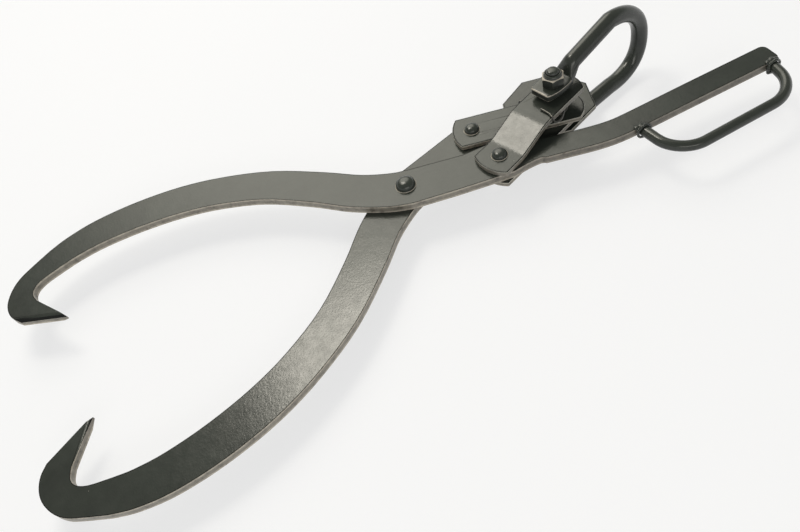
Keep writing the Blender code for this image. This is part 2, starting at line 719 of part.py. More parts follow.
def main():
    """Build the tongs."""
    start_empty_file()
    enamel = finish("dark_enamel", (0.09, 0.09, 0.075), 0.35, 0.0)
    zinc = finish("zinc_plate", (0.55, 0.53, 0.48), 0.35, 1.0)
    wire = finish("spring_steel", (0.25, 0.24, 0.22), 0.4, 1.0)
    nylon = finish("nylon", (0.1, 0.2, 0.35), 0.5, 0.0)

    root = axis_empty("tongs", (0.0, 0.0), 0.0)
    arm_b_axis = axis_empty("main_pivot_axis", (0.0, 0.0), 0.0, root)
    link_a_axis = axis_empty("rivet_a_axis", RIVET_A, LINK_HALF_ANGLE, root)
    link_b_axis = axis_empty("bolt_axis", (LINK_LENGTH, 0.0), -2 * LINK_HALF_ANGLE, link_a_axis)
    bow_axis = axis_empty("bow_axis", (LINK_LENGTH, 0.0), BOW_SWING - LINK_HALF_ANGLE, link_a_axis)

    arm_a = arm("arm_a", arm_outline(long_arm_head()), RIVET_A, LONG_ARM_LEVEL, 1, enamel)
    outline_b = mirrored(arm_outline(short_arm_head()))
    arm_b = arm("arm_b", outline_b, RIVET_B, SHORT_ARM_LEVEL, -1, enamel)

    arm_a_top = LONG_ARM_LEVEL + ARM_THICKNESS
    main_rivet = rivet("main_rivet", SHORT_ARM_LEVEL, arm_a_top, PIVOT_SHANK, PIVOT_HEAD, enamel)
    link_a_low = LINK_A_BOTTOM_LEVEL
    rivet_a = rivet("rivet_a", link_a_low, LINK_A_TOP_LEVEL + LINK_THICKNESS, LINK_SHANK, LINK_HEAD, enamel)
    link_b_low = LINK_B_BOTTOM_LEVEL
    rivet_b = rivet("rivet_b", link_b_low, LINK_B_TOP_LEVEL + LINK_THICKNESS, LINK_SHANK, LINK_HEAD, enamel)

    link_a_top = link_plate("link_a_top", LINK_A_TOP_LEVEL, HOLE_CLEARANCE, HOLE_CLEARANCE, enamel)
    joggle(link_a_top)
    link_a_bottom = link_plate("link_a_bottom", link_a_low, HOLE_CLEARANCE, HOLE_CLEARANCE, enamel)
    loose = LOOSE_HOLE_CLEARANCE
    link_b_top = link_plate("link_b_top", LINK_B_TOP_LEVEL, loose, HOLE_CLEARANCE, enamel)
    link_b_bottom = link_plate("link_b_bottom", link_b_low, loose, HOLE_CLEARANCE, enamel, True)
    for plate in (link_a_top, link_a_bottom, link_b_top, link_b_bottom):
        round_edges(plate)

    bolt = through_bolt(zinc)
    nut, nut_top = lock_nut(zinc)
    bore = BOLT_DIAMETER / 2 + GAP
    insert_top = nut_top - NUT_LIP - GAP
    insert = ring("nut_insert", bore, INSERT_DIAMETER / 2, insert_top - INSERT_HEIGHT, insert_top, nylon)
    washer_low = LINK_B_BOTTOM_LEVEL + LINK_THICKNESS + GAP
    washer = ring("spacer_washer", bore, WASHER_DIAMETER / 2, washer_low, LINK_A_BOTTOM_LEVEL - GAP, enamel)
    sleeve_low = LINK_B_TOP_LEVEL + LINK_THICKNESS + GAP
    sleeve_top = LINK_A_TOP_LEVEL + LINK_JOGGLE - GAP
    sleeve = ring("spacer_sleeve", bore, SLEEVE_DIAMETER / 2, sleeve_low, sleeve_top, zinc)
    lifting_bow = bow(enamel)
    coil, lower_leg = spring(wire)
    rod, beads = grip(enamel)

    keep([arm_a, main_rivet, rod] + beads, root)
    keep([rivet_a], root, RIVET_A)
    keep([arm_b], arm_b_axis)
    keep([rivet_b], arm_b_axis, RIVET_B)
    keep([link_a_top, link_a_bottom], link_a_axis)
    keep([bolt, nut, insert, washer, sleeve, coil], link_a_axis, (LINK_LENGTH, 0.0))
    keep([link_b_top, link_b_bottom], link_b_axis, (-LINK_LENGTH, 0.0))
    keep([lower_leg], link_b_axis)
    keep([lifting_bow], bow_axis)
    centre_on_floor(root)


main()
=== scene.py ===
"""Lifting tongs in dark enamel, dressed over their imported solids.

Each operator models one piece or one group of like pieces on the frame's own places, in metres. The
stage operator adds the floor, the lamps, the world and the camera.
"""
import json
import math

import bmesh
import bpy
from bpy.props import FloatProperty, FloatVectorProperty, PointerProperty
from mathutils import Matrix, Vector


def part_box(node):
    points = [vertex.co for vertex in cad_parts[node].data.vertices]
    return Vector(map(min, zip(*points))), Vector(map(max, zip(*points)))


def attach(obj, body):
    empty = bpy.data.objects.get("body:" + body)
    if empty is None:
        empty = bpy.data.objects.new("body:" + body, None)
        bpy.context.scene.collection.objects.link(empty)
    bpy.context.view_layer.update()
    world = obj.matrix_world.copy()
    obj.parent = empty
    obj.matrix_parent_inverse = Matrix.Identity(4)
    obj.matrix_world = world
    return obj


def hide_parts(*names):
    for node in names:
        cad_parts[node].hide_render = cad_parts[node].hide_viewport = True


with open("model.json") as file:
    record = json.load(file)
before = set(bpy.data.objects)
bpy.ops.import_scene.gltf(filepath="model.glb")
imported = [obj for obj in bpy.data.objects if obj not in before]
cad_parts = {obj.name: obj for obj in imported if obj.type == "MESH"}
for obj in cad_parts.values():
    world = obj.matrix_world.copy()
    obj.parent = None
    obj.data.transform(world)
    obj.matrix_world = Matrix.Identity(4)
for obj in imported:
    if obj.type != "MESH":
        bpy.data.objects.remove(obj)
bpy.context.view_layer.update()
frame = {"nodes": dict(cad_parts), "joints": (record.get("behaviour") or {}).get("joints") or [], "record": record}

bl_info = {
    "name": "Lifting tongs",
    "version": (1, 0, 0),
    "blender": (4, 5, 0),
    "location": "3D View > Sidebar > Tongs",
    "description": "Models hooked lifting tongs with link plates, lifting bow, spring and welded grip",
    "category": "Add Mesh",
}

MM = 0.001
JOINTS = {joint["name"]: joint for joint in frame["joints"]}
PIVOT = Vector(JOINTS["jaw_pivot"]["pos_m"])
RIVET_A = Vector(JOINTS["link_a_pivot"]["pos_m"])
BOLT = Vector(JOINTS["link_b_pivot"]["pos_m"])
RIVET_B = Vector((RIVET_A.x, -RIVET_A.y, RIVET_A.z))
LINK_ANGLE = math.atan2(BOLT.y - RIVET_A.y, BOLT.x - RIVET_A.x)
BOW_AXIS = Vector(frame["record"]["mounts"][0]["axis"])
BOW_ANGLE = math.atan2(BOW_AXIS.y, BOW_AXIS.x)
HEX_TURN = LINK_ANGLE + math.radians(8)

# Lengths in metres

GAP = 0.0003
EYE_RIM_END = 0.013
RIM_DEPTH = 0.0018
RIM_LINE = 0.0007
COIL_PITCH = 0.0024

# Lengths in millimetres

EYE_SHIFT = 1.4
BOLT_HEAD = 7.5
LINK_HALF_WIDTH = 19.5

# Shape factors and fixed colours

DOME_POWER = 0.8
COIL_TURNS = 3.9
# LINE_BLACK paints a dark reflection line on rounded rims; SHADOW_BLACK paints shade along the rims of flat faces.
LINE_BLACK = (0.008, 0.009, 0.008)
SHADOW_BLACK = (0.012, 0.013, 0.011)
WORN_GREY = (0.3, 0.29, 0.26, 1.0)
NYLON_GREY = (0.05, 0.055, 0.06)


def top_of(node):
    """Height of a node's highest point."""
    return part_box(node)[1].z


def bottom_of(node):
    """Height of a node's lowest point."""
    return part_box(node)[0].z


# Selecting and editing

def deselect():
    """Leave every object unselected, in object mode."""
    if bpy.context.object and bpy.context.object.mode != "OBJECT":
        bpy.ops.object.mode_set(mode="OBJECT")
    bpy.ops.object.select_all(action="DESELECT")


def pick(piece):
    """Make one object the only selected and the active one."""
    deselect()
    piece.select_set(True)
    bpy.context.view_layer.objects.active = piece
    return piece


def edit(piece, action, **settings):
    """Run one edit mode operator on the whole of a piece."""
    pick(piece)
    bpy.ops.object.mode_set(mode="EDIT")
    bpy.ops.mesh.select_all(action="SELECT")
    action(**settings)
    bpy.ops.object.mode_set(mode="OBJECT")


def settle(piece):
    """Write a piece's place, turn and size into its mesh."""
    pick(piece)
    bpy.ops.object.transform_apply(location=True, rotation=True, scale=True)
    return piece


def apply_modifiers(piece):
    """Apply every modifier in order."""
    pick(piece)
    for modifier in list(piece.modifiers):
        bpy.ops.object.modifier_apply(modifier=modifier.name)
    return piece


def smooth(piece, degrees=35):
    """Shade smooth, keeping real edges."""
    pick(piece)
    bpy.ops.object.shade_smooth_by_angle(angle=math.radians(degrees))
    return piece


def hand_over(piece, name, body, slot, material, *nodes):
    """Name a finished piece, give it its finish, and set it on its body in place of its CAD nodes."""
    settle(piece)
    piece.name = name
    piece.data.name = name
    piece.data.materials.clear()
    piece.data.materials.append(material)
    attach(piece, body)
    if nodes:
        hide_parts(*nodes)
    return piece


def tidy_skin(piece):
    """Merge a mesh's doubles and turn its faces outwards."""
    edit(piece, bpy.ops.mesh.remove_doubles, threshold=1e-6)
    edit(piece, bpy.ops.mesh.normals_make_consistent, inside=False)
    return piece


def line_mesh(name, points, closed=False, **settings):
    """A poly curve made a mesh: a chain of edges, or a wire where a bevel is set."""
    curve = bpy.data.curves.new(name, "CURVE")
    curve.dimensions = "3D"
    for key, value in settings.items():
        setattr(curve, key, value)
    chain = curve.splines.new("POLY")
    chain.points.add(len(points) - 1)
    for point, place in zip(chain.points, points):
        point.co = (*place, 1.0)
    chain.use_cyclic_u = closed
    piece = bpy.data.objects.new(name, curve)
    bpy.context.scene.collection.objects.link(piece)
    pick(piece)
    bpy.ops.object.convert(target="MESH")
    return bpy.context.object


def spun(name, profile, centre, steps=48, closed=False):
    """Turn a profile of radius and height in millimetres round the vertical through a centre."""
    points = [(centre.x + radius * MM, centre.y, centre.z + height * MM) for radius, height in profile]
    piece = line_mesh(name, points, closed)
    edit(piece, bpy.ops.mesh.spin, steps=steps, angle=2 * math.pi, center=centre, axis=(0, 0, 1))
    return tidy_skin(piece)


def rod(name, points, diameter, resolution):
    """A round wire along points in metres."""
    return tidy_skin(line_mesh(
        name, points, bevel_depth=diameter / 2, bevel_resolution=resolution, use_fill_caps=True))


def boolean(piece, cutter, operation):
    """Cut or trim a piece by another, which is then removed."""
    modifier = piece.modifiers.new(operation.lower(), "BOOLEAN")
    modifier.operation = operation
    modifier.solver = "EXACT"
    modifier.object = cutter
    apply_modifiers(piece)
    bpy.data.objects.remove(cutter)
    return piece


def spline(points, steps=6):
    """Sample a Catmull-Rom curve through points."""
    vectors = [Vector(point) for point in points]
    padded = [vectors[0] * 2 - vectors[1]] + vectors + [vectors[-1] * 2 - vectors[-2]]
    samples = []
    for a, b, c, d in zip(padded, padded[1:], padded[2:], padded[3:]):
        for step in range(steps):
            t = step / steps
            samples.append(0.5 * (2 * b + (c - a) * t + (2 * a - 5 * b + 4 * c - d) * t ** 2
                                  + (3 * b - a - 3 * c + d) * t ** 3))
    return samples + [vectors[-1]]


def on_plan(origin, turn):
    """A function from along, across in millimetres and a height in metres to a place."""
    along = Vector((math.cos(turn), math.sin(turn), 0.0))
    across = Vector((-math.sin(turn), math.cos(turn), 0.0))
    foot = Vector((origin.x, origin.y, 0.0))
    return lambda a, c, z: foot + (along * a + across * c) * MM + Vector((0, 0, z))


# Finishes

def new_material(name, colour, roughness, metallic=0.0):
    """A Principled material and its node tree."""
    material = bpy.data.materials.new(name)
    material.use_nodes = True
    tree = material.node_tree
    shader = tree.nodes["Principled BSDF"]
    shader.inputs["Base Color"].default_value = (*colour, 1.0)
    shader.inputs["Roughness"].default_value = roughness
    shader.inputs["Metallic"].default_value = metallic
    return material, tree, shader


def node(tree, kind, **settings):
    """Add a node with its settings; a key with a capital letter sets an input socket."""
    made = tree.nodes.new(kind)
    for key, value in settings.items():
        if key[0].isupper():
            made.inputs[key.replace("_", " ")].default_value = value
        else:
            setattr(made, key, value)
    return made


def noise(tree, place, scale, detail=2.0, rough=0.5):
    """Noise over the object's own coordinates."""
    made = node(tree, "ShaderNodeTexNoise", Scale=scale, Detail=detail, Roughness=rough)
    tree.links.new(place.outputs["Object"], made.inputs["Vector"])
    return made


def ramp(tree, source, stops):
    """A colour ramp over a value, from pairs of position and colour."""
    made = node(tree, "ShaderNodeValToRGB")
    tree.links.new(source, made.inputs["Fac"])
    elements = made.color_ramp.elements
    while len(elements) < len(stops):
        elements.new(0.5)
    for element, (position, colour) in zip(elements, stops):
        element.position = position
        element.color = (*colour, 1.0) if len(colour) == 3 else colour
    return made


def bump(tree, source, strength, distance, after=None):
    """A bump from a height."""
    made = node(tree, "ShaderNodeBump", Strength=strength, Distance=distance)
    tree.links.new(source, made.inputs["Height"])
    if after:
        tree.links.new(after.outputs["Normal"], made.inputs["Normal"])
    return made


def grey(value):
    """A grey colour."""
    return (value, value, value)


def shade(colour, factor, most=1.0):
    """A colour made lighter or darker, up to a most."""
    return tuple(min(c * factor, most) for c in colour)


def feed(tree, socket, source):
    """Link a socket, or set a value, on a node's input."""
    if isinstance(source, bpy.types.NodeSocket):
        tree.links.new(source, socket)
    else:
        socket.default_value = source


def mixed(tree, factor, first, second, **settings):
    """A mix of two colours."""
    made = node(tree, "ShaderNodeMix", data_type="RGBA", **settings)
    for index, source in ((0, factor), (6, first), (7, second)):
        feed(tree, made.inputs[index], source)
    return made.outputs[2]


def maths(tree, operation, *sources):
    """A math node over one or two values."""
    made = node(tree, "ShaderNodeMath", operation=operation)
    for index, source in enumerate(sources):
        feed(tree, made.inputs[index], source)
    return made.outputs["Value"]


def cells(tree, place, scale):
    """Scattered dots over the object's own coordinates."""
    made = node(tree, "ShaderNodeTexVoronoi", Scale=scale)
    tree.links.new(place.outputs["Object"], made.inputs["Vector"])
    return made.outputs["Distance"]


def enamel(name, face, rim, peel, gloss, edges=True):
    """Brushed-on enamel: orange peel, waves, pits and specks, a thin mottled coat on cut edges with painted shade
    towards the handle, and with edges a painted highlight and a painted dark reflection line on rounded rims.
    """
    material, tree, shader = new_material(name, face, gloss)
    shader.inputs["IOR"].default_value = 1.5
    link = tree.links.new
    place = node(tree, "ShaderNodeTexCoord")
    normal = node(tree, "ShaderNodeSeparateXYZ")
    link(place.outputs["Normal"], normal.inputs["Vector"])
    upright = maths(tree, "ABSOLUTE", normal.outputs["Z"])
    cut = ramp(tree, upright, [(0.12, grey(1.0)), (0.6, grey(0.0))]).outputs["Color"]

    tone = noise(tree, place, 26.0, 4.0, 0.6)
    shades = ramp(tree, tone.outputs["Fac"], [(0.3, shade(face, 0.84)), (0.7, shade(face, 1.16))])
    grime = noise(tree, place, 150.0, 5.0, 0.7)
    coat = ramp(tree, grime.outputs["Fac"], [
        (0.30, shade(rim, 0.35)), (0.44, shade(rim, 0.8)), (0.56, rim), (0.72, shade(rim, 1.25, 0.6))])
    # Painted shade: the cut edges' coat darkens towards +X, over the handle, where their walls get less light.
    spot = node(tree, "ShaderNodeSeparateXYZ")
    link(place.outputs["Object"], spot.inputs["Vector"])
    handle_shade = ramp(tree, spot.outputs["X"], [(0.04, grey(1.0)), (0.16, grey(0.62))])
    shaded = mixed(tree, 1.0, coat.outputs["Color"], handle_shade.outputs["Color"], blend_type="MULTIPLY")
    colour = mixed(tree, cut, shades.outputs["Color"], shaded)

    speck = ramp(tree, cells(tree, place, 85.0), [(0.0, grey(1.0)), (0.035, grey(1.0)), (0.06, grey(0.0))])
    rare = noise(tree, place, 34.0, 1.0)
    some = ramp(tree, rare.outputs["Fac"], [(0.6, grey(0.0)), (0.63, grey(0.55))])
    shown = maths(tree, "MULTIPLY", speck.outputs["Color"], some.outputs["Color"])
    colour = mixed(tree, shown, colour, WORN_GREY)
    # Painted light on rounded rims: a painted highlight on the steeper bevel faces and a painted dark reflection
    # line on the flatter ones.
    if edges:
        highlight = shade(rim, 2.6, 0.6)
        line = ramp(tree, upright, [
            (0.1, (*highlight, 0.0)), (0.2, (*highlight, 1.0)), (0.55, (*highlight, 1.0)), (0.64, (*LINE_BLACK, 1.0)),
            (0.86, (*LINE_BLACK, 1.0)), (0.93, (*LINE_BLACK, 0.0))])
        colour = mixed(tree, line.outputs["Alpha"], colour, line.outputs["Color"])
    link(colour, shader.inputs["Base Color"])

    fine = noise(tree, place, 480.0, 2.5, 0.6)
    waves = noise(tree, place, 90.0, 1.0)
    pit = ramp(tree, cells(tree, place, 110.0), [(0.0, grey(0.0)), (0.09, grey(1.0))])
    first = bump(tree, waves.outputs["Fac"], 0.12, 0.0006)
    second = bump(tree, fine.outputs["Fac"], peel, 0.0002, first)
    third = bump(tree, pit.outputs["Color"], 0.12, 0.0002, second)
    link(third.outputs["Normal"], shader.inputs["Normal"])
    sheen = noise(tree, place, 140.0, 3.0)
    rough = ramp(tree, sheen.outputs["Fac"], [(0.3, grey(gloss - 0.03)), (0.7, grey(gloss + 0.05))])
    duller = mixed(tree, cut, rough.outputs["Color"], (*grey(gloss + 0.15), 1.0))
    link(duller, shader.inputs["Roughness"])
    return material


def steel(name, colour, roughness, grain):
    """Drawn or plated steel with fine streaks and dull patches."""
    material, tree, shader = new_material(name, colour, roughness, 0.85)
    link = tree.links.new
    place = node(tree, "ShaderNodeTexCoord")
    patch = noise(tree, place, 160.0, 4.0)
    shades = ramp(tree, patch.outputs["Fac"], [(0.3, shade(colour, 0.6)), (0.75, colour)])
    link(shades.outputs["Color"], shader.inputs["Base Color"])
    fine = noise(tree, place, grain, 3.0)
    rough = ramp(tree, patch.outputs["Fac"], [(0.3, grey(roughness + 0.1)), (0.7, grey(roughness - 0.05))])
    link(rough.outputs["Color"], shader.inputs["Roughness"])
    shape = bump(tree, fine.outputs["Fac"], 0.15, 0.00008)
    link(shape.outputs["Normal"], shader.inputs["Normal"])
    return material


def nylon(name, colour):
    """Moulded nylon: a faint mottle, a soft grain and a sheen that comes and goes."""
    material, tree, shader = new_material(name, colour, 0.5)
    link = tree.links.new
    place = node(tree, "ShaderNodeTexCoord")
    mottle = noise(tree, place, 420.0, 4.0, 0.6)
    shades = ramp(tree, mottle.outputs["Fac"], [(0.3, shade(colour, 0.75)), (0.7, shade(colour, 1.2))])
    link(shades.outputs["Color"], shader.inputs["Base Color"])
    rough = ramp(tree, mottle.outputs["Fac"], [(0.3, grey(0.42)), (0.7, grey(0.56))])
    link(rough.outputs["Color"], shader.inputs["Roughness"])
    grain = noise(tree, place, 1400.0, 3.0)
    shape = bump(tree, grain.outputs["Fac"], 0.2, 0.00005)
    link(shape.outputs["Normal"], shader.inputs["Normal"])
    return material


FINISHES = {}


def finish(key):
    """A finish from the sidebar's settings, made once."""
    if key in FINISHES:
        return FINISHES[key]
    looks = bpy.context.scene.tongs_looks
    face, rim = tuple(looks.enamel), tuple(looks.cut_edge)
    if key == "enamel":
        made = enamel("dark_enamel", face, rim, looks.peel, looks.gloss)
    elif key == "thick enamel":
        made = enamel("thick_enamel", face, face, looks.peel * 0.4, looks.gloss, False)
    # Painted shade: a dark, weakly reflecting finish for lines along the rims of flat faces.
    elif key == "rim shadow":
        made = enamel("rim_shadow", SHADOW_BLACK, SHADOW_BLACK, looks.peel, 0.4, False)
        made.node_tree.nodes["Principled BSDF"].inputs["Specular IOR Level"].default_value = 0.12
    # Painted highlight: a lighter copy of the cut-edge colour for bright lines on rims.
    elif key == "highlight rim":
        highlight = shade(rim, 1.9, 0.8)
        made = enamel("painted_highlight_rim", highlight, highlight, looks.peel, 0.4, False)
    elif key == "plating":
        made = steel("dull_plating", tuple(looks.plating), 0.38, 900.0)
    elif key == "wire":
        made = steel("spring_wire", tuple(looks.wire), 0.3, 1500.0)
    else:
        made = nylon("insert_nylon", NYLON_GREY)
    FINISHES[key] = made
    return made


# Flat plates

ALONG = Vector((math.cos(LINK_ANGLE), math.sin(LINK_ANGLE), 0.0))
ACROSS = Vector((-ALONG.y, ALONG.x, 0.0))
FOLD_RISE = 12
FOLD_RUN = 35
FOLD = Vector((-ALONG.x * FOLD_RISE, -ALONG.y * FOLD_RISE, FOLD_RUN)).normalized()
FOLD_LINES = (0.010, 0.045)
FOLD_SLOPE = FOLD_RISE / FOLD_RUN
FOLD_ROUND = 0.003
FOLD_REACHES = (0.0052, 0.0075)


def is_flat(face, folded):
    """Whether a face lies on a plate's level or folded sheet surface."""
    if abs(face.normal.z) > 0.9995:
        return True
    if not folded:
        return False
    along = (face.center - RIVET_A).dot(ALONG)
    on_fold = abs(face.normal.dot(ACROSS)) < 0.02 and 0.002 < along < 0.054 and abs(face.normal.z) > 0.9
    return abs(face.normal.dot(FOLD)) > 0.9995 or on_fold


def soften_folds(piece):
    """Turn the two narrow flats at each fold of the folded plate into one wide, even bend."""
    for line, reach in zip(FOLD_LINES, FOLD_REACHES):
        for step in range(-5, 6):
            place = RIVET_A + ALONG * (line + reach * step / 5)
            edit(piece, bpy.ops.mesh.bisect, plane_co=place, plane_no=ALONG)
    for vert in piece.data.vertices:
        along = (vert.co - RIVET_A).dot(ALONG)
        for line, reach, way in zip(FOLD_LINES, FOLD_REACHES, (1, -1)):
            past = along - line
            wide = (past + reach) ** 2 / (4 * reach)
            if abs(past) < reach:
                vert.co.z += way * FOLD_SLOPE * (wide - packed_height(past))


def packed_height(past):
    """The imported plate's height near a fold for a slope of one: level, two narrow flats, then the slope."""
    if past <= -FOLD_ROUND:
        return 0.0
    if past < 0:
        return (past + FOLD_ROUND) / 4
    if past < FOLD_ROUND:
        return FOLD_ROUND / 4 + past * 0.75
    return past


def select_faces(piece, wanted):
    """Select the faces that a test wants, and stay in edit mode."""
    pick(piece)
    bpy.ops.object.mode_set(mode="EDIT")
    bpy.ops.mesh.select_mode(type="FACE")
    bpy.ops.mesh.select_all(action="DESELECT")
    bpy.ops.object.mode_set(mode="OBJECT")
    for face in piece.data.polygons:
        face.select = wanted(face)
    bpy.ops.object.mode_set(mode="EDIT")


def mark_rims(piece, folded):
    """Part the sheared rims from a plate: a line of painted shade on its surfaces, and a line of painted highlight
    round its walls.
    """
    high = max(vert.co.z for vert in piece.data.vertices)
    low = min(vert.co.z for vert in piece.data.vertices)
    lines = [] if folded else [low + RIM_DEPTH, high - RIM_DEPTH]
    for height in lines:
        edit(piece, bpy.ops.mesh.bisect, plane_co=(0, 0, height), plane_no=(0, 0, 1))
    select_faces(piece, lambda face: is_flat(face, folded))
    bpy.ops.mesh.inset(thickness=RIM_LINE, use_even_offset=False)
    bpy.ops.object.mode_set(mode="OBJECT")
    # Kind 1, the inset ring on the flats, takes the painted shade; kind 2, the walls next to the rims, takes the
    # painted highlight.
    kinds = piece.data.attributes.new("rim_kind", "INT", "FACE")
    for face in piece.data.polygons:
        near_rim = not folded and min(high - face.center.z, face.center.z - low) < RIM_DEPTH
        if is_flat(face, folded):
            kinds.data[face.index].value = 0 if face.select else 1
        elif abs(face.normal.z) < 0.3 and near_rim:
            kinds.data[face.index].value = 2


def plate(node_name, body, name, folded=False):
    """A rolled plate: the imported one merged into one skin, its faces kept flat beside rounded rims."""
    source = frame["nodes"][node_name]
    piece = bpy.data.objects.new(name, source.data.copy())
    bpy.context.scene.collection.objects.link(piece)
    edit(piece, bpy.ops.mesh.remove_doubles, threshold=1e-6)
    if folded:
        soften_folds(piece)
    mark_rims(piece, folded)
    smooth(piece, 40)
    for strength, leads in (("MEDIUM", False), ("STRONG", True)):
        select_faces(piece, lambda face: is_flat(face, folded) == leads)
        bpy.ops.mesh.mod_weighted_strength(set=True, face_strength=strength)
        bpy.ops.object.mode_set(mode="OBJECT")
    weighted = piece.modifiers.new("flat_faces", "WEIGHTED_NORMAL")
    weighted.keep_sharp = True
    weighted.use_face_influence = True
    apply_modifiers(piece)
    hand_over(piece, name, body, "enamel", finish("enamel"), node_name)
    # The second slot paints shade along the flats' rims; the third paints a highlight on the walls next to them.
    piece.data.materials.append(finish("rim shadow"))
    piece.data.materials.append(finish("highlight rim"))
    kinds = piece.data.attributes["rim_kind"]
    for face in piece.data.polygons:
        face.material_index = kinds.data[face.index].value
    piece.data.attributes.remove(kinds)
    return piece


class TONGS_OT_arms(bpy.types.Operator):
    """Model the two jaw arms from their plates"""

    bl_idname = "tongs.arms"
    bl_label = "Jaw arms"

    def execute(self, context):
        plate("arm_a", "handle_arm", "long_arm")
        plate("arm_b", "short_arm", "short_arm_plate")
        return {"FINISHED"}


class TONGS_OT_links(bpy.types.Operator):
    """Model the four link plates"""

    bl_idname = "tongs.links"
    bl_label = "Link plates"

    def execute(self, context):
        plate("link_a_top", "link_a", "joggled_link", True)
        plate("link_a_bottom", "link_a", "lower_link")
        plate("link_b_top", "link_b", "flat_link")
        plate("link_b_bottom", "link_b", "octagon_link")
        return {"FINISHED"}


# Rivets

def rivet(node_name, body, name, centre, shank):
    """A rivet with a set dome at both ends, a small flat on each and a thin squeezed rim."""
    low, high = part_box(node_name)
    head = (high.x - low.x) / 2 / MM
    height = head * 0.72
    top = (high.z - low.z) / MM
    rise = [math.radians(angle) for angle in (3, 8, 14, 21, 29, 38, 48, 58, 68, 78, 85)]
    dome = [(head * 0.99 * math.sin(a) ** DOME_POWER, height * math.cos(a) ** DOME_POWER) for a in rise]
    rim = [(head * 0.995, 0.6), (head + 0.05, 0.3), (head + 0.5, 0.1), (head + 0.6, 0.0)]
    upper = [(0.0, height)] + dome + rim
    profile = [(r, top - height + h) for r, h in upper] + [(shank, top - height)]
    profile += [(shank, height)] + [(r, height - h) for r, h in upper[::-1]]
    base = Vector((centre.x, centre.y, low.z))
    piece = spun(name, profile, base, 48)
    smooth(piece, 50)
    hand_over(piece, name, body, "enamel", finish("thick enamel"), node_name)
    # The squeezed rims take a painted highlight.
    piece.data.materials.append(finish("highlight rim"))
    for face in piece.data.polygons:
        reach = math.hypot(face.center.x - base.x, face.center.y - base.y) / MM
        if reach > head + 0.05 and abs(face.normal.z) > 0.1:
            face.material_index = 1
    return piece


class TONGS_OT_rivets(bpy.types.Operator):
    """Model the pivot rivet and the two link rivets"""

    bl_idname = "tongs.rivets"
    bl_label = "Rivets"

    def execute(self, context):
        sizes = context.scene.tongs_sizes
        rivet("main_rivet", "handle_arm", "pivot_rivet", PIVOT, sizes.pivot_shank / 2 / MM)
        rivet("rivet_a", "handle_arm", "link_rivet_a", RIVET_A, sizes.link_shank / 2 / MM)
        rivet("rivet_b", "short_arm", "link_rivet_b", RIVET_B, sizes.link_shank / 2 / MM)
        return {"FINISHED"}


# Bolt and what sits on it

def hexagon(name, across_flats, low, high):
    """A hexagonal prism round the bolt's axis, as a trimming tool."""
    deselect()
    bpy.ops.mesh.primitive_cylinder_add(
        vertices=6, radius=across_flats / math.sqrt(3), depth=high - low,
        location=(BOLT.x, BOLT.y, (low + high) / 2), rotation=(0, 0, HEX_TURN))
    return settle(bpy.context.object)


